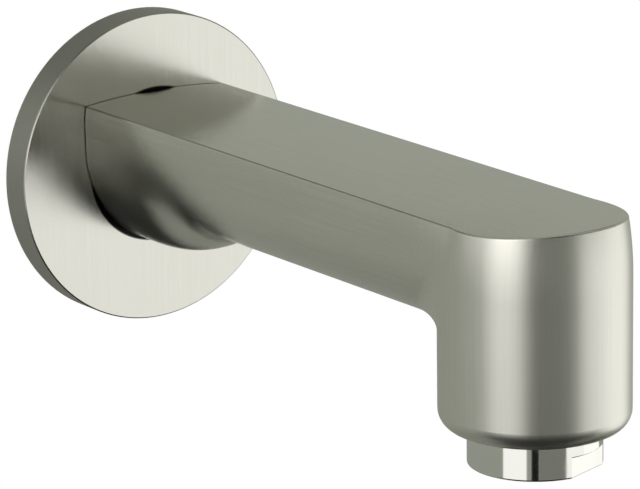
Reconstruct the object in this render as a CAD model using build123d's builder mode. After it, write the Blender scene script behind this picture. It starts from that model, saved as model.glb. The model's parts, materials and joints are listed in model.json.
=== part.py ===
from build123d import *
from math import asin, atan2, degrees, sqrt
import os

# Wall mounted bath spout. Millimetres, +Z up. The origin is the centre of the flange's back, on the wall
# plane y = 0, and the spout reaches out along -Y. A "reach" is a distance from the wall, along -Y.

# Flange
flange_radius = 38.0
flange_thickness = 8.5
flange_face = 2.2
flange_rim = 2.8
flange_edge = 0.3
hub_wall = 2.4
gasket_width = 3.0
gasket_thickness = 2.0
gasket_ledge = 1.5

# Spout body, outside
seam = 0.3
top_z = 18.0
top_crown = 1.2
section_z = 13.0
arm_half_width = 20.5
arm_depth = 23.1
arm_under_radius = 18.9
chin_z = 8.0
chin_half_width = 20.4
chin_depth = 25.4
chin_straight = 11.0
chin_round = 36.0
chin_taper = 0.25
chin_shares = (0.975, 0.92, 0.83, 0.69)
nose_reach = 157.0
nose_radius = 21.4
nose_lean = 1.2
nose_crown_z = 5.0
nose_bottom_z = -29.3
nose_edge = 4.5
arm_to_nose_blend = 12.0
top_edge = 0.5

# Spout body, inside
wall = 3.5
spigot_wall = 3.0
spigot_end = 2.5
bore_depth = 34.0
bore_lead = 0.8
outlet_thread_depth = 10.7
outlet_lead = 0.5
seat_width = 2.4
seat_wall = 2.6
funnel_height = 4.0

# Wall adapter
adapter_radius = 13.5
adapter_length = 32.0
adapter_chamfer = 0.8
inlet_thread_radius = 9.2
inlet_thread_depth = 16.0
inlet_radius = 6.5
hex_key = 14.0
hex_key_depth = 6.0
screw_groove_width = 6.4
screw_groove_depth = 1.2

# Seal rings
adapter_ring = 2.4
adapter_ring_rear_reach = 23.6
adapter_ring_front_reach = 28.4
flange_ring = 2.0
ring_side_play = 0.2

# Set screw
screw_radius = 2.5
screw_reach = 17.5
screw_stand_out = 0.6
screw_socket = 2.5
screw_socket_depth = 2.6
screw_chamfer = 0.4

# Aerator housing
collar_step = 1.0
collar_height = 8.2
collar_gap = 0.25
collar_edge = 0.25
outlet_thread_radius = 14.0
housing_wall = 1.6
lip_width = 1.0
lip_height = 1.0
flat_depth = 1.3
flat_height = 4.7
flat_turn = 18.0
washer_thickness = 1.8
washer_overhang = 1.0

# Aerator cartridge, from the mouth up
shell_wall = 0.9
shell_lip = 0.8
grid_height = 4.0
grid_rim = 0.8
grid_cell = 2.8
grid_web = 0.5
screen_height = 1.6
screen_rim = 0.9
screen_thickness = 0.5
screen_hole = 2.2
screen_pitch = 3.2
jet_plate_height = 3.0
jet_plate_thickness = 1.4
jet_plate_rim = 0.9
jet_count = 18
jet_radius = 0.7
jet_circle = 7.8
jet_hub_radius = 3.0
dome_rim_height = 1.5
dome_rim = 0.9
dome_height = 3.0
dome_crown = 8.4
dome_wall = 0.7
dome_hole = 1.0
dome_outer_holes = 12
dome_outer_circle = 6.6
dome_inner_holes = 6
dome_inner_circle = 3.5

# Fits
thread_fit = 0.05
running_fit = 0.08
screw_tip_gap = 0.1
seal_touch = 0.01

# Sizes that follow from the ones above
body_back = flange_thickness + seam
chin_turn = body_back + chin_straight
crest_z = top_z + top_crown
chin_bottom_z = chin_z - chin_depth
arm_under_z = section_z - arm_depth + arm_under_radius
arm_side_radius = (arm_half_width**2 + arm_depth**2 - 2 * arm_depth * arm_under_radius) / (
    2 * (arm_half_width - arm_under_radius)
)
arm_side_x = arm_half_width - arm_side_radius
arm_side_turn = degrees(atan2(section_z - arm_under_z, -arm_side_x))
arm_top_x = arm_side_x + sqrt(arm_side_radius**2 - (top_z - section_z) ** 2)
crown_radius = (arm_top_x**2 + top_crown**2) / (2 * top_crown)
nose_top_radius = nose_radius - nose_lean
bore_radius = adapter_radius + running_fit
spigot_radius = bore_radius + spigot_wall
hub_radius = spigot_radius + running_fit
gasket_radius = flange_radius - flange_rim
flange_ring_reach = (spigot_end + flange_thickness) / 2
seat_z = nose_bottom_z + outlet_thread_depth
seat_radius = outlet_thread_radius - seat_width
chamber_radius = nose_top_radius - wall
housing_top_z = seat_z - washer_thickness
housing_radius = outlet_thread_radius - thread_fit
housing_bore = housing_radius - housing_wall
collar_radius = outlet_thread_radius + collar_step
collar_top_z = nose_bottom_z - collar_gap
collar_bottom_z = nose_bottom_z - collar_height
lip_z = collar_bottom_z + lip_height
shell_radius = housing_bore - running_fit
shell_bore = shell_radius - shell_wall
insert_radius = shell_bore - running_fit
grid_z = lip_z + shell_lip
screen_lower_z = grid_z + grid_height
screen_upper_z = screen_lower_z + screen_height
jet_plate_z = screen_upper_z + screen_height
dome_z = jet_plate_z + jet_plate_height

# Half sections about the outlet are drawn on this plane: local x is the radius, local y the height.
outlet = Plane(origin=(0, -nose_reach, 0), x_dir=(1, 0, 0), z_dir=(0, -1, 0))
outlet_axis = Axis((0, -nose_reach, 0), (0, 0, 1))


def turned(inner, outer, near, far, mode=Mode.ADD):
    # Half section of a ring about the wall axis, between two reaches, on the XY plane.
    with Locations(((inner + outer) / 2, -(near + far) / 2)):
        Rectangle(outer - inner, far - near, mode=mode)


def stacked(inner, outer, low, high, mode=Mode.ADD):
    # Half section of a ring about the outlet axis, between two heights, on the outlet plane.
    with Locations(((inner + outer) / 2, (low + high) / 2)):
        Rectangle(outer - inner, high - low, mode=mode)


def level(height):
    # Horizontal plane on the outlet axis.
    return Plane(origin=(0, -nose_reach, height), x_dir=(1, 0, 0), z_dir=(0, 0, 1))


def arm_outline(inset, top):
    # The arm's section, or its inside: two side arcs that run into a tighter arc below, closed at a height.
    side_radius = arm_side_radius - inset
    rise = degrees(asin((top - section_z) / side_radius))
    right = CenterArc((arm_side_x, section_z), side_radius, -arm_side_turn, arm_side_turn + rise)
    CenterArc((0, arm_under_z), arm_under_radius - inset, arm_side_turn - 180, 180 - 2 * arm_side_turn)
    left = CenterArc((-arm_side_x, section_z), side_radius, 180 - rise, rise + arm_side_turn)
    Line(right @ 1, left @ 0)


def within(locations, limit):
    # The places of a pattern that lie inside a circle.
    return [place for place in locations.local_locations if place.position.length <= limit]


os.makedirs("parts", exist_ok=True)

# The chin under the root: a trough as wide as the arm, whose round bottom rises into the arm's at its end.
with BuildPart() as chin:
    chin_sections = [(body_back, 1), ((body_back + chin_turn) / 2, 1), (chin_turn, 1)]
    chin_sections += [(chin_turn + chin_round * sqrt(1 - share**2), share) for share in chin_shares]
    for reach, share in chin_sections:
        half_width = chin_half_width * (1 - chin_taper * (1 - share))
        with BuildSketch(Plane.XZ.offset(reach)):
            with BuildLine():
                bottom = EllipticalCenterArc(
                    (0, chin_z), half_width, chin_depth * share, start_angle=180, arc_size=180
                )
                Polyline(bottom @ 1, (half_width, section_z), (-half_width, section_z), bottom @ 0)
            make_face()
    loft()

# The nose: a plain cylinder with a rounded lower edge, whose side leans in towards the top.
with BuildPart() as nose:
    with BuildSketch(outlet):
        with BuildLine():
            Line((0, crest_z), (0, nose_bottom_z))
            Line((0, nose_bottom_z), (nose_radius - nose_edge, nose_bottom_z))
            RadiusArc(
                (nose_radius - nose_edge, nose_bottom_z),
                (nose_radius, nose_bottom_z + nose_edge),
                -nose_edge,
            )
            Line((nose_radius, nose_bottom_z + nose_edge), (nose_radius, nose_crown_z))
            TangentArc((nose_radius, nose_crown_z), (nose_top_radius, crest_z), tangent=(0, 1))
            Line((nose_top_radius, crest_z), (0, crest_z))
        make_face()
    revolve(axis=outlet_axis)

# The body is one casting: arm, chin and nose outside, and the adapter's bore, the waterway and the outlet inside.
with BuildPart() as spout_body:
    with BuildSketch(Plane.XZ.offset(body_back)):
        with BuildLine():
            arm_outline(0, crest_z)
        make_face()
    extrude(amount=nose_reach - body_back)
    add(nose.part)
    crease = spout_body.edges().filter_by(GeomType.BSPLINE)
    fillet(crease.filter_by_position(Axis.Y, -nose_reach, nose_radius - nose_reach), arm_to_nose_blend)
    with BuildSketch(Plane.XZ.offset(body_back)):
        with Locations((0, crest_z - crown_radius)):
            Circle(crown_radius)
    extrude(amount=nose_reach + nose_radius - body_back, mode=Mode.INTERSECT)
    crown = spout_body.faces().sort_by(Axis.Z)[-1]
    fillet(crown.edges().sort_by(Axis.Y)[:-1], top_edge)
    add(chin.part)

    with BuildSketch(Plane.XY):
        turned(0, spigot_radius, spigot_end, body_back + wall)
        turned(
            hub_radius - flange_ring,
            spigot_radius,
            flange_ring_reach - flange_ring / 2 - ring_side_play,
            flange_ring_reach + flange_ring / 2 + ring_side_play,
            mode=Mode.SUBTRACT,
        )
    revolve(axis=Axis.Y)

    with BuildSketch(Plane.XY):
        with BuildLine():
            Polyline(
                (0, -spigot_end),
                (bore_radius + bore_lead, -spigot_end),
                (bore_radius, -spigot_end - bore_lead),
                (bore_radius, -bore_depth),
                (0, -bore_depth),
                close=True,
            )
        make_face()
    revolve(axis=Axis.Y, mode=Mode.SUBTRACT)

    with BuildSketch(Plane.XZ.offset(bore_depth)):
        with BuildLine():
            arm_outline(wall, top_z - wall)
        make_face()
    extrude(amount=nose_reach - bore_depth, mode=Mode.SUBTRACT)

    with BuildSketch(outlet):
        with BuildLine():
            Polyline(
                (0, top_z - wall),
                (chamber_radius, top_z - wall),
                (chamber_radius, seat_z + seat_wall + funnel_height),
                (seat_radius, seat_z + seat_wall),
                (seat_radius, seat_z),
                (outlet_thread_radius, seat_z),
                (outlet_thread_radius, nose_bottom_z + outlet_lead),
                (outlet_thread_radius + outlet_lead, nose_bottom_z),
                (0, nose_bottom_z),
                close=True,
            )
        make_face()
    revolve(axis=outlet_axis, mode=Mode.SUBTRACT)

    with BuildSketch(Plane(origin=(0, -screw_reach, 0), z_dir=(0, 0, -1))):
        Circle(screw_radius + thread_fit)
    extrude(amount=2 * chin_depth, mode=Mode.SUBTRACT)

# The flange is a hollow-backed plate; its hub slides on the body's rear spigot.
with BuildPart() as flange:
    with BuildSketch(Plane.XY):
        turned(hub_radius, flange_radius, 0, flange_thickness)
        turned(
            hub_radius + hub_wall,
            gasket_radius - gasket_ledge,
            0,
            flange_thickness - flange_face,
            mode=Mode.SUBTRACT,
        )
        turned(hub_radius, hub_radius + hub_wall, 0, spigot_end, mode=Mode.SUBTRACT)
        turned(gasket_radius - gasket_ledge, gasket_radius, 0, gasket_thickness, mode=Mode.SUBTRACT)
    revolve(axis=Axis.Y)
    chamfer(flange.edges().filter_by(GeomType.CIRCLE).sort_by(SortBy.RADIUS)[-2:], flange_edge)

with BuildPart() as wall_gasket:
    with BuildSketch(Plane.XY):
        turned(gasket_radius - gasket_width, gasket_radius - running_fit, 0, gasket_thickness)
    revolve(axis=Axis.Y)

with BuildPart() as flange_o_ring:
    with BuildSketch(Plane.XY):
        with Locations((hub_radius - flange_ring / 2, -flange_ring_reach)):
            RegularPolygon(flange_ring / 2 - seal_touch, 8, major_radius=False, rotation=22.5)
    revolve(axis=Axis.Y)

# The adapter screws on the supply nipple with a hex key through its waterway, before the spout slides over it.
with BuildPart() as wall_adapter:
    with BuildSketch(Plane.XY):
        turned(inlet_radius, adapter_radius, 0, adapter_length)
        turned(inlet_radius, inlet_thread_radius, 0, inlet_thread_depth, mode=Mode.SUBTRACT)
        turned(
            adapter_radius - screw_groove_depth,
            adapter_radius,
            screw_reach - screw_groove_width / 2,
            screw_reach + screw_groove_width / 2,
            mode=Mode.SUBTRACT,
        )
        for ring_reach in (adapter_ring_rear_reach, adapter_ring_front_reach):
            turned(
                bore_radius - adapter_ring,
                adapter_radius,
                ring_reach - adapter_ring / 2 - ring_side_play,
                ring_reach + adapter_ring / 2 + ring_side_play,
                mode=Mode.SUBTRACT,
            )
    revolve(axis=Axis.Y)
    outer_edges = wall_adapter.edges().filter_by(GeomType.CIRCLE).sort_by(Axis.Y)
    chamfer(outer_edges.filter_by(lambda edge: edge.radius > inlet_thread_radius)[0], adapter_chamfer)
    chamfer(outer_edges.filter_by(lambda edge: edge.radius > inlet_thread_radius)[-1], adapter_chamfer)
    with BuildSketch(Plane.XZ.offset(adapter_length)):
        RegularPolygon(hex_key / 2, 6, major_radius=False)
    extrude(amount=-hex_key_depth, mode=Mode.SUBTRACT)

with BuildPart() as adapter_o_ring_rear:
    with BuildSketch(Plane.XY):
        with Locations((bore_radius - adapter_ring / 2, -adapter_ring_rear_reach)):
            RegularPolygon(adapter_ring / 2 - seal_touch, 8, major_radius=False, rotation=22.5)
    revolve(axis=Axis.Y)

with BuildPart() as adapter_o_ring_front:
    with BuildSketch(Plane.XY):
        with Locations((bore_radius - adapter_ring / 2, -adapter_ring_front_reach)):
            RegularPolygon(adapter_ring / 2 - seal_touch, 8, major_radius=False, rotation=22.5)
    revolve(axis=Axis.Y)

# The set screw stands a little proud of the chin, and its tip lies in the adapter's groove.
with BuildPart() as set_screw:
    screw_tip = adapter_radius - screw_groove_depth + screw_tip_gap
    screw_length = screw_stand_out - chin_bottom_z - screw_tip
    with BuildSketch(Plane(origin=(0, -screw_reach, -screw_tip), z_dir=(0, 0, -1))):
        Circle(screw_radius)
    extrude(amount=screw_length)
    chamfer(set_screw.edges().filter_by(GeomType.CIRCLE), screw_chamfer)
    with BuildSketch(Plane(origin=(0, -screw_reach, -screw_tip - screw_length), z_dir=(0, 0, -1))):
        RegularPolygon(screw_socket / 2, 6, major_radius=False)
    extrude(amount=-screw_socket_depth, mode=Mode.SUBTRACT)

# The aerator housing: the collar below the nose, with two wrench flats, and the threaded sleeve above it.
with BuildPart() as aerator_housing:
    with BuildSketch(outlet):
        stacked(housing_bore - lip_width, collar_radius, collar_bottom_z, collar_top_z)
        stacked(housing_bore, housing_radius, collar_top_z, housing_top_z)
        stacked(housing_bore - lip_width, housing_bore, lip_z, housing_top_z, mode=Mode.SUBTRACT)
    revolve(axis=outlet_axis)
    chamfer(aerator_housing.edges().filter_by(GeomType.CIRCLE).sort_by(SortBy.RADIUS)[-2:], collar_edge)
    with BuildSketch(level(collar_bottom_z)):
        Circle(2 * collar_radius)
        Rectangle(
            4 * collar_radius,
            2 * (collar_radius - flat_depth),
            rotation=flat_turn,
            mode=Mode.SUBTRACT,
        )
    extrude(amount=flat_height, mode=Mode.SUBTRACT)

with BuildPart() as aerator_washer:
    with BuildSketch(outlet):
        stacked(seat_radius - washer_overhang, housing_radius - running_fit, housing_top_z, seat_z)
    revolve(axis=outlet_axis)

# The cartridge: a shell that stands on the housing's lip and holds the grid, screens, jets and strainer in a stack.
with BuildPart() as cartridge_shell:
    with BuildSketch(outlet):
        stacked(shell_bore, shell_radius, lip_z, housing_top_z)
        stacked(shell_bore - shell_lip, shell_bore, lip_z, grid_z)
    revolve(axis=outlet_axis)

with BuildPart() as stream_grid:
    with BuildSketch(level(grid_z)):
        Circle(insert_radius)
        cells = HexLocations((grid_cell + grid_web) / 2, 11, 11)
        with Locations(*within(cells, insert_radius - grid_rim - grid_cell / 2)):
            RegularPolygon(grid_cell / 2, 6, major_radius=False, rotation=30, mode=Mode.SUBTRACT)
    extrude(amount=grid_height)

with BuildPart() as screen_lower:
    with BuildSketch(level(screen_lower_z)):
        Circle(insert_radius)
    extrude(amount=screen_height)
    with BuildSketch(level(screen_lower_z + screen_thickness)):
        Circle(insert_radius - screen_rim)
    extrude(amount=screen_height, mode=Mode.SUBTRACT)
    with BuildSketch(level(screen_lower_z)):
        holes = GridLocations(screen_pitch, screen_pitch, 11, 11)
        with Locations(*within(holes, insert_radius - screen_rim - screen_hole)):
            Rectangle(screen_hole, screen_hole)
    extrude(amount=screen_height, mode=Mode.SUBTRACT)

with BuildPart() as screen_upper:
    with Locations((0, 0, screen_upper_z - screen_lower_z)):
        add(screen_lower.part)

with BuildPart() as jet_plate:
    with BuildSketch(outlet):
        stacked(0, insert_radius, jet_plate_z, jet_plate_z + jet_plate_thickness)
        stacked(insert_radius - jet_plate_rim, insert_radius, jet_plate_z, dome_z)
        stacked(0, jet_hub_radius, jet_plate_z, dome_z)
    revolve(axis=outlet_axis)
    with BuildSketch(level(jet_plate_z)):
        with PolarLocations(jet_circle, jet_count):
            RegularPolygon(jet_radius, 6)
    extrude(amount=jet_plate_thickness, mode=Mode.SUBTRACT)

with BuildPart() as filter_dome:
    cap_radius = insert_radius - dome_rim
    cap_z = dome_z + dome_rim_height
    crown_z = cap_z + dome_height
    with BuildSketch(outlet):
        stacked(cap_radius, insert_radius, dome_z, cap_z)
        with BuildLine():
            Polyline(
                (0, crown_z),
                (dome_crown, crown_z),
                (cap_radius, cap_z),
                (cap_radius, cap_z - dome_wall),
                (dome_crown, crown_z - dome_wall),
                (0, crown_z - dome_wall),
                close=True,
            )
        make_face()
    revolve(axis=outlet_axis)
    with BuildSketch(level(dome_z)):
        RegularPolygon(dome_hole, 6)
        with PolarLocations(dome_inner_circle, dome_inner_holes):
            RegularPolygon(dome_hole, 6)
        with PolarLocations(dome_outer_circle, dome_outer_holes):
            RegularPolygon(dome_hole, 6)
    extrude(amount=dome_rim_height + dome_height, mode=Mode.SUBTRACT)

spout_body.part.label = "spout_body"
flange.part.label = "flange"
wall_gasket.part.label = "wall_gasket"
flange_o_ring.part.label = "flange_o_ring"
wall_adapter.part.label = "wall_adapter"
adapter_o_ring_rear.part.label = "adapter_o_ring_rear"
adapter_o_ring_front.part.label = "adapter_o_ring_front"
set_screw.part.label = "set_screw"
aerator_housing.part.label = "aerator_housing"
aerator_washer.part.label = "aerator_washer"
cartridge_shell.part.label = "cartridge_shell"
stream_grid.part.label = "stream_grid"
screen_lower.part.label = "screen_lower"
screen_upper.part.label = "screen_upper"
jet_plate.part.label = "jet_plate"
filter_dome.part.label = "filter_dome"

export_step(spout_body.part, "parts/spout_body.step")
export_step(flange.part, "parts/flange.step")
export_step(wall_gasket.part, "parts/wall_gasket.step")
export_step(flange_o_ring.part, "parts/flange_o_ring.step")
export_step(wall_adapter.part, "parts/wall_adapter.step")
export_step(adapter_o_ring_rear.part, "parts/adapter_o_ring_rear.step")
export_step(adapter_o_ring_front.part, "parts/adapter_o_ring_front.step")
export_step(set_screw.part, "parts/set_screw.step")
export_step(aerator_housing.part, "parts/aerator_housing.step")
export_step(aerator_washer.part, "parts/aerator_washer.step")
export_step(cartridge_shell.part, "parts/cartridge_shell.step")
export_step(stream_grid.part, "parts/stream_grid.step")
export_step(screen_lower.part, "parts/screen_lower.step")
export_step(screen_upper.part, "parts/screen_upper.step")
export_step(jet_plate.part, "parts/jet_plate.step")
export_step(filter_dome.part, "parts/filter_dome.step")
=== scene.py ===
# %% [markdown]
# # A wall mounted bath spout
# The spout is a satin nickel casting on a round wall flange, with a polished aerator under its nose.
# Its solids come from the packed model, which is loaded here as a fixed frame: one object for each
# piece, in metres, with the wall at y = 0 and the spout reaching out along -Y. Blender adds the
# finishes, the screw threads, the seals and the studio.

# %% Load the frame
import json
from math import acos, cos, pi, radians, sin

import bmesh
import bpy
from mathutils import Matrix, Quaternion, Vector


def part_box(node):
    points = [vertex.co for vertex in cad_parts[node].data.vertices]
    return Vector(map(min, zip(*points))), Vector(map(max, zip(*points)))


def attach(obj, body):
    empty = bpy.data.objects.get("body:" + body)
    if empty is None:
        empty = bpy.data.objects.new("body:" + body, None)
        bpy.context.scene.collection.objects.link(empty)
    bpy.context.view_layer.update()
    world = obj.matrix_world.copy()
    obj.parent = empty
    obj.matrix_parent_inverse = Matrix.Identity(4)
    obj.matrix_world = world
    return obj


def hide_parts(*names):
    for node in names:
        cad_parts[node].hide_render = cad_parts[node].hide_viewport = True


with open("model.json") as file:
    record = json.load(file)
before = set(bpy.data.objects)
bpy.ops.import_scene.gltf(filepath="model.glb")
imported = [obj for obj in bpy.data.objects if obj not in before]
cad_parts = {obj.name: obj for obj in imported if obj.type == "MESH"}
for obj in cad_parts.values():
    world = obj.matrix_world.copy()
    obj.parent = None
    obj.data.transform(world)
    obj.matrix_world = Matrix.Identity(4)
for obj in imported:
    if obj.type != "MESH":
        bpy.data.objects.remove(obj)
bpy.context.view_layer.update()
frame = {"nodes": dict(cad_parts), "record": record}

scene = bpy.context.scene
scene.view_settings.view_transform = "Standard"
print("pieces:", ", ".join(sorted(frame["nodes"])))

# %% [markdown]
# ## Camera
# The photograph was taken with a long lens from the left, a little above the spout. An aim point, two
# angles and a distance describe such a camera better than a matrix would: the angles say which sides
# are seen, and the distance sets the perspective. The roll is the small tilt of the photograph itself.

# %% Camera
image_width = 640
lens_in_pixels = 4467
sensor_mm = 36.0
camera_aim = Vector((-0.0095, -0.0900, -0.0008))
camera_distance = 1.0197
camera_azimuth = radians(-35.42)
camera_elevation = radians(15.17)
camera_roll = radians(-0.81)


def toward(azimuth, elevation):
    """The direction from the spout to a place round it: azimuth 0 is in front, negative to its left."""
    level = cos(elevation)
    return Vector((sin(azimuth) * level, -cos(azimuth) * level, sin(elevation)))


lens = bpy.data.cameras.new("camera")
lens.sensor_width = sensor_mm
lens.lens = lens_in_pixels / image_width * sensor_mm
camera = bpy.data.objects.new("camera", lens)
scene.collection.objects.link(camera)
outward = toward(camera_azimuth, camera_elevation)
camera.location = camera_aim + outward * camera_distance
camera.rotation_mode = "QUATERNION"
camera.rotation_quaternion = outward.to_track_quat("Z", "Y") @ Quaternion((0, 0, 1), camera_roll)
scene.camera = camera
print("camera at", [round(part, 3) for part in camera.location], "with a", round(lens.lens, 1), "mm lens")

# %% [markdown]
# ## Shader maths
# Every finish below mixes a few textures. Written as nodes, that takes many lines, so this class wraps
# a socket and lets Python's own operators add the Math nodes. Any other node comes from its one method,
# `node`.


# %% A socket that works like a number
class Wire:
    """An output socket of a node tree, or the tree alone, where a finish starts."""

    def __init__(self, tree, socket=None):
        self.tree = tree
        self.socket = socket

    def node(self, kind, settings, sockets, output=0):
        """Adds a node, sets it up, feeds its sockets and returns one of its outputs."""
        made = self.tree.nodes.new("ShaderNode" + kind)
        for name, value in settings.items():
            setattr(made, name, value)
        for name, value in sockets.items():
            if isinstance(value, Wire):
                self.tree.links.new(value.socket, made.inputs[name])
            else:
                made.inputs[name].default_value = value
        return Wire(self.tree, made.outputs[output]) if made.outputs else None

    def math(self, operation, *values):
        """A Math node on numbers or wires."""
        return self.node("Math", {"operation": operation}, dict(enumerate(values)))

    def vector(self, operation, *values):
        """A Vector Math node on vectors or wires."""
        return self.node("VectorMath", {"operation": operation}, dict(enumerate(values)))

    def smooth(self, low, high):
        """0 below low, 1 above high, and a smooth step between."""
        sockets = {"Value": self, "From Min": low, "From Max": high}
        return self.node("MapRange", {"interpolation_type": "SMOOTHSTEP"}, sockets)

    def blend(self, first, second):
        """A colour that goes from first to second as this value goes from 0 to 1."""
        return self.node("Mix", {"data_type": "RGBA"}, {0: self, 6: first, 7: second}, output=2)

    def __add__(self, other):
        return self.math("ADD", self, other)

    def __sub__(self, other):
        return self.math("SUBTRACT", self, other)

    def __rsub__(self, other):
        return self.math("SUBTRACT", other, self)

    def __mul__(self, other):
        return self.math("MULTIPLY", self, other)

    __radd__ = __add__
    __rmul__ = __mul__


print("a wire knows", [name for name in vars(Wire) if not name.startswith("_")])


# %% What every finish uses
def new_finish(name):
    """A material with an empty node tree, ready for wires."""
    material = bpy.data.materials.new(name)
    material.use_nodes = True
    material.node_tree.nodes.clear()
    return material, Wire(material.node_tree)


def set_output(wire, shader):
    """Ends a finish with its shader."""
    wire.node("OutputMaterial", {}, {"Surface": shader})


def place(wire):
    """Where a point lies on the object, in metres."""
    return wire.node("TexCoord", {}, {}, output="Object")


def noise(wire, position, scale, detail=2.0):
    """Soft noise about 0.5, with so many swells to the metre."""
    settings = {"noise_dimensions": "3D"}
    return wire.node("TexNoise", settings, {"Vector": position, "Scale": scale, "Detail": detail})


def bumps(wire, height, depth):
    """A normal that follows a height from 0 to 1, with the given depth in metres."""
    return wire.node("Bump", {}, {"Height": height, "Distance": depth, "Strength": 1.0})


print("finishes are measured in metres, on the object's own axes")

# %% [markdown]
# ## Studio
# Metal shows its surroundings more than its own colour, so the studio decides how it looks. The
# photograph's reflections suggest what stood round the spout: a large soft light on the right, a
# narrower one on the left, grey walls, and black cloth behind the camera, above it and low in front.
# Each is a curved card at a given azimuth and elevation that glows evenly and that the camera doesn't
# see. Lamps could stand there instead, but a card has the edges that the polished collar shows, and it
# costs little noise.


# %% A glowing card
def card(name, azimuths, elevations, distance, tint, level, steps=24):
    """A glowing patch of a sphere round the spout, which the camera doesn't see and which casts no
    shadow.
    """
    points = []
    for row in range(steps + 1):
        elevation = radians(elevations[0] + (elevations[1] - elevations[0]) * row / steps)
        for column in range(steps + 1):
            azimuth = radians(azimuths[0] + (azimuths[1] - azimuths[0]) * column / steps)
            points.append(camera_aim + toward(azimuth, elevation) * distance)
    width = steps + 1
    corners = [row * width + column for row in range(steps) for column in range(steps)]
    mesh = bpy.data.meshes.new(name)
    mesh.from_pydata(points, [], [(at, at + 1, at + 1 + width, at + width) for at in corners])
    material, wire = new_finish(name)
    glow = wire.node("Emission", {}, {"Color": (*tint, 1), "Strength": level})
    set_output(wire, glow)
    material.cycles.emission_sampling = "NONE"
    mesh.materials.append(material)
    made = bpy.data.objects.new(name, mesh)
    made.visible_camera = False
    made.visible_shadow = False
    scene.collection.objects.link(made)


print("cards stand round", [round(part, 4) for part in camera_aim])

# %% Cards round the spout
room_distance = 3.8
card_distance = 3.2
low_distance = 2.0
near_distance = 1.8
below_distance = 1.7
olive_grey = (0.955, 1.0, 0.87)
neutral = (1.0, 1.0, 0.97)

card("grey_room", (0, 360), (0, 90), room_distance, olive_grey, 0.355, steps=48)
card("grey_room_low", (0, 360), (-90, 0), room_distance, olive_grey, 0.30, steps=48)
card("dark_high_behind", (105, 250), (29, 46), card_distance, olive_grey, 0.14)
card("right_softbox", (16, 52), (-25, 3), card_distance, neutral, 0.98)
card("right_softbox_far", (52, 98), (-45, 3), card_distance, neutral, 1.10)
card("left_softbox", (-92, -51), (-23, 0), card_distance, neutral, 1.00)
card("left_softbox_high", (-92, -51), (0, 45), card_distance, neutral, 1.80)
card("left_wall", (-130, -92), (-5, 45), card_distance, neutral, 0.66)
card("cloth_behind_camera", (-43, -31), (-40, 40), card_distance, neutral, 0.01)
card("dark_front", (-30, 14), (-26, 16), card_distance, olive_grey, 0.19)
card("cloth_above_front", (-50, 14), (16, 70), card_distance, neutral, 0.01)
card("dark_above_right", (14, 75), (4, 50), card_distance, olive_grey, 0.25)
card("low_cloth", (0, 360), (-90, -36), low_distance, olive_grey, 0.24, steps=48)
card("cloth_below", (0, 360), (-90, -70), below_distance, neutral, 0.02, steps=48)
card("low_cloth_right", (75, 140), (-75, -45), near_distance, neutral, 0.03)
card("cloth_low_in_front", (-105, 50), (-89, -26), near_distance, neutral, 0.01)

# %% [markdown]
# The world is white to the camera and to reflections, and a little darker for soft light. A pale floor
# lies far below, where it hides nothing in a view from underneath; most of its tone comes from its own
# glow, so that it stays as white as the world and still takes the spout's shadow. Three lamps give the
# rubber and plastic pieces a plain level of light. The metal gets its light from the cards, so its
# reflections leave the lamps out.

# %% White world
world = bpy.data.worlds.new("white_world")
world.use_nodes = True
world.node_tree.nodes.clear()
sky = Wire(world.node_tree)
soft_level = 0.7


def seen(wire):
    """1 for a ray that shows the background itself: to the camera, in a reflection or through glass."""
    ray = wire.node("LightPath", {}, {}).socket.node
    names = ("Is Camera Ray", "Is Glossy Ray", "Is Transmission Ray")
    camera_ray, glossy_ray, glass_ray = (Wire(wire.tree, ray.outputs[name]) for name in names)
    return camera_ray.math("MAXIMUM", camera_ray.math("MAXIMUM", camera_ray, glossy_ray), glass_ray)


level = seen(sky) * (1 - soft_level) + soft_level
background = sky.node("Background", {}, {"Color": (1, 1, 1, 1), "Strength": level})
sky.node("OutputWorld", {}, {"Surface": background})
scene.world = world
print("the world gives soft light at", soft_level)

# %% Floor
floor_z = -2.2
floor_radius = 2.5
floor_glow = 0.85
bpy.ops.mesh.primitive_circle_add(vertices=96, radius=floor_radius, fill_type="NGON")
floor = bpy.context.object
floor.location.z = floor_z
floor.name = "floor"
material, wire = new_finish("pale_floor")
matte = wire.node("BsdfDiffuse", {}, {"Color": (0.9, 0.9, 0.9, 1)})
glow = wire.node("Emission", {}, {"Color": (1, 1, 1, 1), "Strength": 1.0})
set_output(wire, wire.node("MixShader", {}, {0: seen(wire) * floor_glow, 1: matte, 2: glow}))
floor.data.materials.append(material)
print("floor at", floor_z, "m")

# %% Lamps
lamp_distance = 1.6
lamp_size = 0.8


def lamp(name, azimuth, elevation, watts):
    """A square soft light that looks at the spout."""
    light = bpy.data.lights.new(name, "AREA")
    light.size = lamp_size
    light.energy = watts
    made = bpy.data.objects.new(name, light)
    away = toward(radians(azimuth), radians(elevation))
    made.location = camera_aim + away * lamp_distance
    made.rotation_mode = "QUATERNION"
    made.rotation_quaternion = away.to_track_quat("Z", "Y")
    made.visible_glossy = False
    scene.collection.objects.link(made)


lamp("key_lamp", -60, 50, 16)
lamp("fill_lamp", 70, 10, 6)
lamp("low_lamp", 0, -70, 8)

# %% [markdown]
# ## Satin nickel
# The casting and the flange are nickel plated and brushed. Fine scratches blur a reflection across
# themselves and leave it sharp along them, which an even roughness can't do. The arm turns many ways,
# so there the normal is tipped to and fro across the scratches by a noise that is stretched along them.
# Wider streaks, which the eye can see, change the colour and the roughness a little.

# %% Scratches and streaks
nickel_colour = (0.796, 0.786, 0.727, 1)
nickel_worn = (0.848, 0.838, 0.780, 1)
scratches_per_metre = 60000
scratch_stretch = 60
streaks_per_metre = 1600
streak_stretch = 45
y_axis, z_axis = (0, 1, 0), (0, 0, 1)


def surface_normal(wire):
    """Which way the surface faces."""
    return wire.node("NewGeometry", {}, {}, output="Normal")


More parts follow.
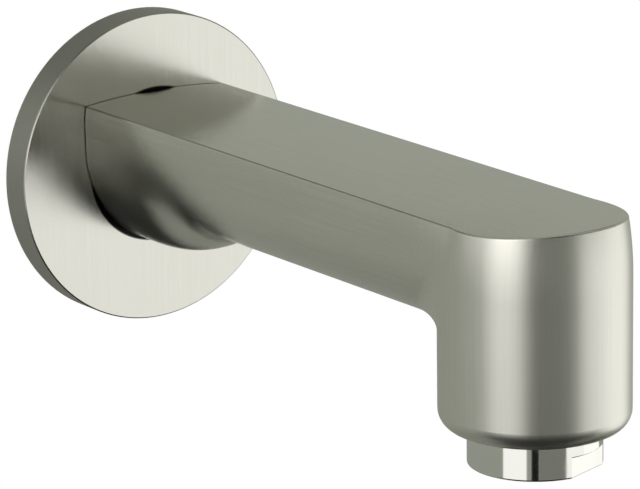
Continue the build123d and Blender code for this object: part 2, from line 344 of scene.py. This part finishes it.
def part_along(wire, vector, axis):
    """One part of a vector: X, Y or Z."""
    return wire.node("SeparateXYZ", {}, {0: vector}, output=axis)


def drawn_out(wire, position, along, per_metre, stretch, detail):
    """Noise that is stretched along an axis."""
    scales = [per_metre / stretch if part else per_metre for part in along]
    return noise(wire, wire.vector("MULTIPLY", position, scales), 1.0, detail)


def streaks(wire, position, along):
    """Where the brush went deeper or shallower."""
    return drawn_out(wire, position, along, streaks_per_metre, streak_stretch, 3.0)


def scratch_tilt(wire, position, along, depth):
    """How far the normal leans across scratches that run along an axis, as a vector."""
    fine = drawn_out(wire, position, along, scratches_per_metre, scratch_stretch, 1.0)
    across = wire.vector("CROSS_PRODUCT", along, surface_normal(wire))
    return wire.node("VectorMath", {"operation": "SCALE"}, {0: across, "Scale": (fine - 0.5) * depth})


print("scratches every", round(1000 / scratches_per_metre, 3), "mm")

# %% [markdown]
# Under the root, a chin runs out into the arm and ends in a fold, which polishing has softened. A Bevel
# node could round the normal across it, but over such a width it grows noisy. The arm's section is
# known, an arc at each side and one below, so near the fold the chin takes the normal that the arm
# would have there, and it turns to its own normal as it stands further out from the arm.

# %% The fold under the root
arm_half_width = 0.0205
arm_depth = 0.0231
section_height = 0.013
under_radius = 0.0189
under_height = section_height - arm_depth + under_radius
side_radius = (arm_half_width**2 + arm_depth**2 - 2 * arm_depth * under_radius) / (
    2 * (arm_half_width - under_radius)
)
side_offset = side_radius - arm_half_width
fold_rise = 0.0025
fold_far_end = (-0.100, -0.085)
fold_near_end = (-0.030, -0.010)
fold_top = (0.010, 0.015)
outer_skin = (-0.001, -0.0003)
mesh_error = 0.0001


def length_of(wire, vector):
    """How long a vector is."""
    return wire.node("VectorMath", {"operation": "LENGTH"}, {0: vector}, output="Value")


def mixed(wire, share, first, second):
    """A vector that goes from first to second as a share goes from 0 to 1."""
    return wire.node("Mix", {"data_type": "VECTOR"}, {0: share, 4: first, 5: second}, output=1)


def soft_normal(wire, position):
    """The surface's normal, turned to the arm's near the fold."""
    x, y, z = (part_along(wire, position, axis) for axis in "XYZ")
    side_x = x + wire.math("SIGN", x) * side_offset
    from_side = wire.node("CombineXYZ", {}, {"X": side_x, "Z": z - section_height})
    from_under = wire.node("CombineXYZ", {}, {"X": x, "Z": z - under_height})
    across = wire.math("ABSOLUTE", x) * (section_height - under_height) + (z - under_height) * side_offset
    on_side = wire.math("GREATER_THAN", across, 0.0)
    above_side = length_of(wire, from_side) - side_radius
    above_under = length_of(wire, from_under) - under_radius
    rise = above_under + (above_side - above_under) * on_side
    arm_normal = wire.vector("NORMALIZE", mixed(wire, on_side, from_under, from_side))
    in_reach = y.smooth(*fold_far_end) * (1 - y.smooth(*fold_near_end)) * (1 - z.smooth(*fold_top))
    like_arm = in_reach * rise.smooth(*outer_skin) * (1 - rise.smooth(mesh_error, fold_rise))
    return mixed(wire, like_arm, surface_normal(wire), arm_normal)


print("the arm's side has a radius of", round(1000 * side_radius, 1), "mm")

# %% Brushed nickel
clouds_per_metre = 35.0
wear_range = (0.30, 0.70)
streak_rough = 0.06
cloud_rough = 0.04


def brushed(wire, position, colour, normal, rough, streak, stretch):
    """The shader of brushed nickel; colour is a function of wear, and stretch widens its highlights."""
    cloud = noise(wire, position, clouds_per_metre, detail=3.0)
    sockets = {
        "Base Color": colour((cloud * 0.5 + streak * 0.5).smooth(*wear_range)),
        "Metallic": 1.0,
        "Roughness": rough + (streak - 0.5) * streak_rough + (cloud - 0.5) * cloud_rough,
        "Anisotropic": stretch,
        "Normal": wire.vector("NORMALIZE", normal),
    }
    return wire.node("BsdfPrincipled", {}, sockets)


def nickel_tone(worn):
    """The nickel's colour, which is paler where it is worn."""
    return worn.blend(nickel_colour, nickel_worn)


def dress(node, material):
    """Gives a piece of the packed model its finish."""
    mesh = frame["nodes"][node].data
    mesh.materials.clear()
    mesh.materials.append(material)
    print(node, "is finished in", material.name)


print("brushed nickel has a cloud of wear every", round(1000 / clouds_per_metre), "mm")

# %% [markdown]
# The body's finish changes over its length: scratches run along the arm, finest on its top, where the
# flange's reflection keeps a sharp edge, and the nose has an even satin with upright streaks.

# %% The body's finish
body_low, body_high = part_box("spout_body")
nose_radius = (body_high.x - body_low.x) / 2
nose_y = body_low.y + nose_radius
nose_edge = (nose_y + 0.2 * nose_radius, nose_y + 1.2 * nose_radius)
top_edge = (0.70, 0.95)
brush_depth = 1.2
finer_on_top = 0.5
arm_rough = 0.18
top_rough = 0.14
nose_rough = 0.36


def body_finish(name):
    """Brushed along the arm, and satin on the nose."""
    material, wire = new_finish(name)
    position = place(wire)
    on_top = part_along(wire, surface_normal(wire), "Z").smooth(*top_edge)
    on_nose = (1 - part_along(wire, position, "Y").smooth(*nose_edge)) * (1 - on_top)
    depth = brush_depth * (1 - on_nose) * (1 - finer_on_top * on_top)
    tilt = scratch_tilt(wire, position, y_axis, depth)
    normal = wire.vector("ADD", soft_normal(wire, position), tilt)
    rough = arm_rough + (nose_rough - arm_rough) * on_nose + (top_rough - arm_rough) * on_top
    along, upright = streaks(wire, position, y_axis), streaks(wire, position, z_axis)
    streak = along + (upright - along) * on_nose
    set_output(wire, brushed(wire, position, nickel_tone, normal, rough, streak, 0.0))
    return material


dress("spout_body", body_finish("satin_nickel_body"))

# %% [markdown]
# The flange's face is flat and brushed upright, so the shader's own anisotropy can stretch its
# highlights, with less noise than tipped normals make, and its normals are tipped only a tenth as far
# as the arm's. The rim was turned and is rougher, and its darker colour is painted shade. Round the
# root, a narrow gap is painted as shade: the colour is nearly black inside a circle, which shows as dark
# crescents above and below.

# %% The flange's finish
flange_low, flange_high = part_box("flange")
flange_radius = (flange_high.x - flange_low.x) / 2
flange_face = (flange_low.y + 0.0001, flange_low.y + 0.0003)
flange_edge = (flange_radius - 0.0004, flange_radius - 0.0001)
flange_rough = 0.215
flange_stretch = 0.9
flange_brush = 0.1 * brush_depth
# The rim's darker colour is painted shade.
rim_painted_shade_colour = (0.455, 0.450, 0.417, 1)
rim_painted_shade_worn = (0.490, 0.485, 0.450, 1)
rim_rough = 0.42
# A nearly black circle round the root is painted shade, standing for the shade in a narrow gap.
painted_gap_shade_colour = (0.012, 0.012, 0.011, 1)
painted_gap_shade_height = 0.0009
painted_gap_shade_radius = 0.0192
painted_gap_shade_edge = (painted_gap_shade_radius - 0.0003, painted_gap_shade_radius + 0.0002)


def from_axis(wire, position, height):
    """The distance from an axis that runs into the wall at a height."""
    across = wire.vector("MULTIPLY", wire.vector("SUBTRACT", position, (0, 0, height)), (1, 0, 1))
    return length_of(wire, across)


def flange_finish(name):
    """Brushed upright on the face, rougher on the rim with painted shade, and painted gap shade round the
    root.
    """
    material, wire = new_finish(name)
    position = place(wire)
    tilt = scratch_tilt(wire, position, z_axis, flange_brush)
    streak = streaks(wire, position, z_axis)
    in_front = 1 - part_along(wire, position, "Y").smooth(*flange_face)
    # Inside this circle the colour is painted shade, nearly black.
    in_painted_gap_shade = in_front * (1 - from_axis(wire, position, painted_gap_shade_height).smooth(*painted_gap_shade_edge))
    on_rim = from_axis(wire, position, 0.0).smooth(*flange_edge)

    def face_tone(worn):
        """Nickel, and nearly black painted shade inside the circle round the root."""
        return in_painted_gap_shade.blend(nickel_tone(worn), painted_gap_shade_colour)

    def rim_painted_shade_tone(worn):
        """Nickel darkened by painted shade."""
        return worn.blend(rim_painted_shade_colour, rim_painted_shade_worn)

    normal = wire.vector("ADD", surface_normal(wire), tilt)
    face = brushed(wire, position, face_tone, normal, flange_rough, streak, flange_stretch)
    rim = brushed(wire, position, rim_painted_shade_tone, normal, rim_rough, streak, 0.0)
    set_output(wire, wire.node("MixShader", {}, {0: on_rim, 1: face, 2: rim}))
    return material


dress("flange", flange_finish("satin_nickel_flange"))

# %% [markdown]
# ## Polished nickel
# The aerator's housing is turned on a lathe and polished, so it mirrors the studio. A perfect mirror
# looks like a drawing, and the real one has faint rings from turning and a few smudges: rings are noise
# that changes mostly with height, and smudges raise the roughness here and there.

# %% Polished nickel
polish_colour = (0.900, 0.895, 0.860, 1)
smudge_colour = (0.86, 0.85, 0.81, 1)
polish_rough = 0.09
smudge_rough = 0.06
smudges_per_metre = 140.0
smudge_edge = (0.5, 0.75)
ring_scales = (60, 60, 9000)
ring_depth = 2e-6


def polished_nickel(name):
    """A mirror with faint turning rings and a few smudges."""
    material, wire = new_finish(name)
    position = place(wire)
    rings = noise(wire, wire.vector("MULTIPLY", position, ring_scales), 1.0)
    smudge = noise(wire, position, smudges_per_metre, detail=4.0).smooth(*smudge_edge)
    shader = wire.node(
        "BsdfPrincipled",
        {},
        {
            "Base Color": smudge.blend(polish_colour, smudge_colour),
            "Metallic": 1.0,
            "Roughness": polish_rough + smudge * smudge_rough,
            "Normal": bumps(wire, rings, ring_depth),
        },
    )
    set_output(wire, shader)
    return material


mirror_finish = polished_nickel("polished_nickel")
print("made", mirror_finish.name)

# %% [markdown]
# ## Brass and screw steel
# The adapter behind the flange is bare brass from a lathe, and the set screw is dark oxidised steel.
# Both show tool marks, the brass as rings round the supply's axis, and both go dull in patches where
# they were handled.

# %% Brass and screw steel
patches_per_metre = 180.0
patch_edge = (0.42, 0.70)
patch_rough = 0.15
mark_rough = 0.12


def machined(name, colour, dull, rough, grain, mark_depth):
    """Bare machined metal; grain says how many tool marks there are to the metre along each axis."""
    material, wire = new_finish(name)
    position = place(wire)
    marks = noise(wire, wire.vector("MULTIPLY", position, grain), 1.0)
    patch = noise(wire, position, patches_per_metre, detail=4.0).smooth(*patch_edge)
    shader = wire.node(
        "BsdfPrincipled",
        {},
        {
            "Base Color": patch.blend(colour, dull),
            "Metallic": 1.0,
            "Roughness": rough + patch * patch_rough + (marks - 0.5) * mark_rough,
            "Normal": bumps(wire, marks, mark_depth),
        },
    )
    set_output(wire, shader)
    return material


lathe_rings = (80, 5000, 80)
even_grain = (900, 900, 900)
brass_tones = (0.78, 0.58, 0.26, 1), (0.60, 0.42, 0.17, 1)
steel_tones = (0.33, 0.33, 0.33, 1), (0.20, 0.19, 0.18, 1)
brass = machined("brass", *brass_tones, 0.26, lathe_rings, 6e-6)
screw_steel = machined("screw_steel", *steel_tones, 0.36, even_grain, 8e-6)
dress("wall_adapter", brass)
dress("set_screw", screw_steel)

# %% [markdown]
# ## Rubber, foam and plastic
# The seals are black rubber with a fine mould texture, the wall gasket is closed-cell foam, and the
# aerator's inside is moulded acetal. All three are dull materials, so what tells them apart is the size
# of their grain: foam has cut cells, rubber a fine pebble, and acetal a faint flow of lighter and
# darker plastic.

# %% Rubber, foam and plastic
grains_to_a_flow = 12
grain_rough = 0.2
cell_depth = 0.00015


def moulded(name, colour, shade, rough, grain_scale, grain_depth):
    """A moulded material with a pebbled skin and a slow change of tone."""
    material, wire = new_finish(name)
    position = place(wire)
    pebble = noise(wire, position, grain_scale, detail=3.0)
    flow = noise(wire, position, grain_scale / grains_to_a_flow, detail=2.0)
    shader = wire.node(
        "BsdfPrincipled",
        {},
        {
            "Base Color": flow.smooth(0.3, 0.7).blend(colour, shade),
            "Roughness": rough + (pebble - 0.5) * grain_rough,
            "Normal": bumps(wire, pebble, grain_depth),
        },
    )
    set_output(wire, shader)
    return material


def closed_cell_foam(name, colour, skin, cells_per_metre):
    """Foam whose cut cells are darker and deeper than the walls between them."""
    material, wire = new_finish(name)
    position = place(wire)
    cell = wire.node("TexVoronoi", {}, {"Vector": position, "Scale": cells_per_metre}, output="Distance")
    shader = wire.node(
        "BsdfPrincipled",
        {},
        {
            "Base Color": cell.smooth(0.1, 0.7).blend(colour, skin),
            "Roughness": 0.9,
            "Normal": bumps(wire, cell, cell_depth),
        },
    )
    set_output(wire, shader)
    return material


rubber_tones = (0.028, 0.028, 0.028, 1), (0.040, 0.039, 0.038, 1)
white_tones = (0.86, 0.86, 0.84, 1), (0.80, 0.80, 0.78, 1)
grey_tones = (0.42, 0.43, 0.44, 1), (0.37, 0.38, 0.39, 1)
foam_tones = (0.12, 0.12, 0.12, 1), (0.20, 0.20, 0.20, 1)
black_rubber = moulded("black_rubber", *rubber_tones, 0.55, 4000.0, 2e-5)
white_acetal = moulded("white_acetal", *white_tones, 0.35, 2500.0, 1e-5)
grey_acetal = moulded("grey_acetal", *grey_tones, 0.38, 2500.0, 1e-5)
grey_foam = closed_cell_foam("grey_foam", *foam_tones, 2200.0)
for node in ("cartridge_shell", "jet_plate", "filter_dome"):
    dress(node, white_acetal)
for node in ("stream_grid", "screen_lower", "screen_upper"):
    dress(node, grey_acetal)

# %% [markdown]
# ## Turned pieces
# Seals and threaded pieces are all turned: a half section goes round an axis. The Screw modifier can do
# that, but the housing's two wrench flats and a thread that stops at a shoulder need each point in
# hand, so these helpers walk the section round the axis and join the rows with quads. A row of a thread
# climbs as it goes round, and ends where the row one pitch higher begins.

# %% A lathe for half sections
weld_distance = 1e-7
sharp_degrees = 30


def shell(rows, closed=False, climb=0):
    """Points and faces that join rows round an axis; a climbing row meets the row so many above it."""
    count = len(rows[0])
    points = [point for row in rows for point in row]
    faces = []
    last = len(rows) if closed else len(rows) - 1 - climb
    for low in range(last):
        high = (low + 1) % len(rows)
        for column in range(count):
            lift = climb if column == count - 1 else 0
            after = (column + 1) % count
            corners = ((low, column), (low + lift, after), (high + lift, after), (high, column))
            faces.append([row * count + spot for row, spot in corners])
    return points, faces


def welded(name, *shells):
    """One mesh from shells, with points at the same place joined and slivers taken out."""
    form = bmesh.new()
    for points, faces in shells:
        corners = [form.verts.new(point) for point in points]
        for face in faces:
            form.faces.new([corners[corner] for corner in face])
    bmesh.ops.remove_doubles(form, verts=form.verts, dist=weld_distance)
    bmesh.ops.dissolve_degenerate(form, edges=form.edges, dist=weld_distance)
    bmesh.ops.recalc_face_normals(form, faces=form.faces)
    mesh = bpy.data.meshes.new(name)
    form.to_mesh(mesh)
    form.free()
    return mesh


def piece(name, mesh, material, body, node=None):
    """Puts a mesh on the object, smooth except at its edges, with its finish and the body it rides on."""
    mesh.materials.append(material)
    mesh.polygons.foreach_set("use_smooth", [True] * len(mesh.polygons))
    mesh.set_sharp_from_angle(angle=radians(sharp_degrees))
    made = bpy.data.objects.new(name, mesh)
    scene.collection.objects.link(made)
    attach(made, body)
    if node:
        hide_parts(node)
    print(name, "has", len(mesh.polygons), "faces")


print("edges of more than", sharp_degrees, "degrees stay sharp")

# %% Axes of the turned pieces
round_steps = 128
turns = [2 * pi * step / round_steps for step in range(round_steps)]


def about_supply(radius, reach, turn):
    """A point about the supply's axis, at a reach from the wall."""
    return Vector((radius * cos(turn), -reach, radius * sin(turn)))


def about_outlet(radius, height, turn):
    """A point about the outlet's axis, at a height."""
    return Vector((radius * cos(turn), nose_y + radius * sin(turn), height))


print("a ring has", round_steps, "points round it")

# %% [markdown]
# ## Threads
# The housing screws into the nose a millimetre to the turn, and the adapter's inlet has the coarse
# thread of a half inch pipe. A thread could be a bump in the finish, but the housing's shows in outline
# once the aerator is unscrewed, so both are real. Their rows follow the crest and the root, five to a
# pitch, and a thread fades out at both ends, the housing's into a plain groove.

# %% Thread rows
thread_phases = (0.0, 0.125, 0.4375, 0.5625, 0.875)
thread_heights = (0, 0, 1, 1, 0)


def thread_rows(about, columns, root, depth, ends, pitch, groove):
    """Rows of a right-handed thread between two ends; a negative depth makes an inner thread."""
    first, last = ends
    sign = 1 if depth > 0 else -1
    rows = []
    for turn_number in range(-1, int((last - first) / pitch) + 2):
        for phase, height in zip(thread_phases, thread_heights):
            row = []
            for turn in columns:
                along = first + (turn_number + phase + turn / (2 * pi)) * pitch
                along = min(max(along, first), last)
                room = max(0, min(along - first, last - along) - groove)
                row.append(about(root + sign * min(abs(depth) * height, room), along, turn))
            rows.append(row)
    return rows


print("a thread has", len(thread_phases), "rows to a pitch")

# %% [markdown]
# ## Aerator housing
# Below the thread is the collar, which a wrench holds by two flats. Each point of the collar keeps its
# radius unless that takes it past a flat, and a column of points stands at each end of a flat so that
# it ends in a crisp line. The collar's edges are rounded as polishing leaves them, which is what
# catches the light.

# %% Sizes of the housing
mm = 0.001
collar_height = 7.95 * mm
collar_step = 1.05 * mm
sleeve_wall = 1.6 * mm
lip_size = 1.0 * mm
flat_depth = 1.3 * mm
flat_height = 4.7 * mm
flat_normal = radians(-72)
thread_depth = 0.6 * mm
thread_groove = 0.3 * mm
round_edge = 0.4 * mm
lip_edge = 0.2 * mm
ledge_edge = 0.25 * mm
support = 0.05 * mm
housing_steps = 192
housing_low, housing_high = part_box("aerator_housing")
collar_radius = (housing_high.x - housing_low.x) / 2
collar_top = housing_low.z + collar_height
sleeve_radius = collar_radius - collar_step
thread_root = sleeve_radius - thread_depth
housing_bore = sleeve_radius - sleeve_wall
lip_radius = housing_bore - lip_size
lip_top = housing_low.z + lip_size
flat_distance = collar_radius - flat_depth
flat_top = housing_low.z + flat_height
flat_half = acos(flat_distance / collar_radius)
flat_ends = [flat_normal + half + side for half in (0, pi) for side in (-flat_half, flat_half)]
housing_turns = [2 * pi * step / housing_steps for step in range(housing_steps)]
housing_turns = sorted(housing_turns + [end % (2 * pi) for end in flat_ends])
print("collar radius", round(collar_radius / mm, 2), "mm, flats at", round(flat_distance / mm, 2), "mm")

# %% Rows of the collar
edge_steps = 4
least_cosine = 0.1


def rounded(radius, height, size, first):
    """Points round a quarter of an edge, with one more before and after to keep the sides flat."""
    angles = [radians(first - 90 * step / edge_steps) for step in range(edge_steps + 1)]
    points = [(radius + size * cos(angle), height + size * sin(angle)) for angle in angles]
    rise, run = support * cos(angles[0]), support * sin(angles[0])
    before = (points[0][0] - run, points[0][1] + rise)
    after = (points[-1][0] - rise, points[-1][1] - run)
    return [before, *points, after]


def collar_row(radius, height, share):
    """A row of the collar: share 0 is round, 1 goes back to the flats, and a length rounds the ledge."""
    row = []
    for turn in housing_turns:
        limit = flat_distance / max(abs(cos(turn - flat_normal)), least_cosine) - (collar_radius - radius)
        cut = max(0, radius - limit)
        row.append(about_outlet(radius - (cut if share == 1 else min(cut, share)), height, turn))
    return row


collar_ring = [(thread_root, collar_top)]
collar_ring += rounded(collar_radius - round_edge, collar_top - round_edge, round_edge, 90)
ledge_angles = [radians(90 * step / edge_steps) for step in range(edge_steps + 1)]
ledge = [(1 - cos(angle), 1 - sin(angle)) for angle in ledge_angles]
ledge = [(ledge_edge * across, flat_top + ledge_edge * up) for across, up in ledge]
collar_flats = [(collar_radius, flat_top), (collar_radius, flat_top - support)]
collar_flats += rounded(collar_radius - round_edge, housing_low.z + round_edge, round_edge, 0)
collar_mouth = rounded(lip_radius + lip_edge, housing_low.z + lip_edge, lip_edge, 270)
collar_mouth += [(lip_radius, lip_top), (housing_bore, lip_top), (housing_bore, housing_high.z)]
collar_mouth += [(thread_root, housing_high.z)]
collar_rows = [collar_row(radius, height, 0) for radius, height in collar_ring]
collar_rows += [collar_row(collar_radius, flat_top + ledge_edge + support, 0)]
collar_rows += [collar_row(collar_radius, height, share) for share, height in ledge]
collar_rows += [collar_row(radius, height, 1) for radius, height in collar_flats]
collar_rows += [collar_row(radius, height, 0) for radius, height in collar_mouth]
print("the collar has", len(collar_rows), "rows")

# %% Housing
outlet_pitch = 1.0 * mm
sleeve_ends = (collar_top, housing_high.z)
sleeve_rows = thread_rows(
    about_outlet, housing_turns, thread_root, thread_depth, sleeve_ends, outlet_pitch, thread_groove
)
housing_mesh = welded("housing", shell(collar_rows), shell(sleeve_rows, climb=len(thread_phases)))
piece("housing", housing_mesh, mirror_finish, "aerator_housing", "aerator_housing")

# %% [markdown]
# ## Supply thread
# The pipe thread inside the adapter shows from behind. Its hole's radius and depth come from the mount
# in the record, and the thread stands inward from the wall of that hole, in the adapter's brass.

# %% Supply thread
supply = next(mount for mount in frame["record"]["mounts"] if mount["name"] == "supply_inlet")
inlet_radius = supply["dims"]["r_mm"] * mm
inlet_depth = supply["dims"]["length_mm"] * mm
inlet_ends = (0.5 * mm, inlet_depth - 1.0 * mm)
pipe_pitch = 25.4 / 14 * mm
pipe_depth = 0.7 * mm
pipe_rows = thread_rows(about_supply, turns, inlet_radius, -pipe_depth, inlet_ends, pipe_pitch, 0.0)
pipe_mesh = welded("inlet_thread", shell(pipe_rows, climb=len(thread_phases)))
pipe_mesh.flip_normals()
piece("inlet_thread", pipe_mesh, brass, "spout")

# %% [markdown]
# ## Seals
# Two rubber rings seal the adapter in the body and a third holds the flange, a flat washer sits over
# the aerator, and a foam gasket keeps water out of the wall. A rubber ring in its groove is a torus
# that is squeezed a little where it touches, so its section is a circle with its sides held back. The
# gasket and the washer are flat rings with soft edges.


# %% Sections of the seals
def seal_section(low, high, squeeze, steps=24):
    """Points round a ring's section between two corners, each a radius and a place along the axis."""
    middle = [(first + second) / 2 for first, second in zip(low, high)]
    half = [(second - first) / 2 for first, second in zip(low, high)]
    points = []
    for step in range(steps):
        turn = 2 * pi * step / steps
        wide = max(-1, min(1, cos(turn) * squeeze))
        tall = max(-1, min(1, sin(turn) * squeeze))
        points.append((middle[0] + half[0] * wide, middle[1] + half[1] * tall))
    return points


def ring_size(node, about):
    """A ring's section as two corners: inner radius and low end, outer radius and high end."""
    points = [vertex.co for vertex in frame["nodes"][node].data.vertices]
    if about is about_supply:
        radii, places = [Vector((at.x, at.z)).length for at in points], [-at.y for at in points]
    else:
        radii, places = [Vector((at.x, at.y - nose_y)).length for at in points], [at.z for at in points]
    return (min(radii), min(places)), (max(radii), max(places))


gasket_radius = ring_size("wall_gasket", about_supply)[1][0]
print("the gasket's radius is", round(gasket_radius / mm, 2), "mm")

# %% Seals
ring_squeeze = 1.04
gasket_squeeze = 1.30
washer_squeeze = 1.35


def seal(name, node, about, squeeze, material, body, slot):
    """A soft ring in the place of a ring of the packed model."""
    section = seal_section(*ring_size(node, about), squeeze)
    rows = [[about(radius, along, turn) for turn in turns] for radius, along in section]
    piece(name, welded(name, shell(rows, closed=True)), material, body, node)


ring_look = (about_supply, ring_squeeze, black_rubber)
gasket_look = (about_supply, gasket_squeeze, grey_foam)
washer_look = (about_outlet, washer_squeeze, black_rubber)
seal("flange_seal", "flange_o_ring", *ring_look, "spout", "black_rubber")
seal("adapter_seal_rear", "adapter_o_ring_rear", *ring_look, "spout", "black_rubber")
seal("adapter_seal_front", "adapter_o_ring_front", *ring_look, "spout", "black_rubber")
seal("gasket_foam", "wall_gasket", *gasket_look, "spout", "grey_foam")
seal("washer_rubber", "aerator_washer", *washer_look, "aerator_insert", "black_rubber")

# %% [markdown]
# The finishes and the added pieces may not make the spout larger than its solids.
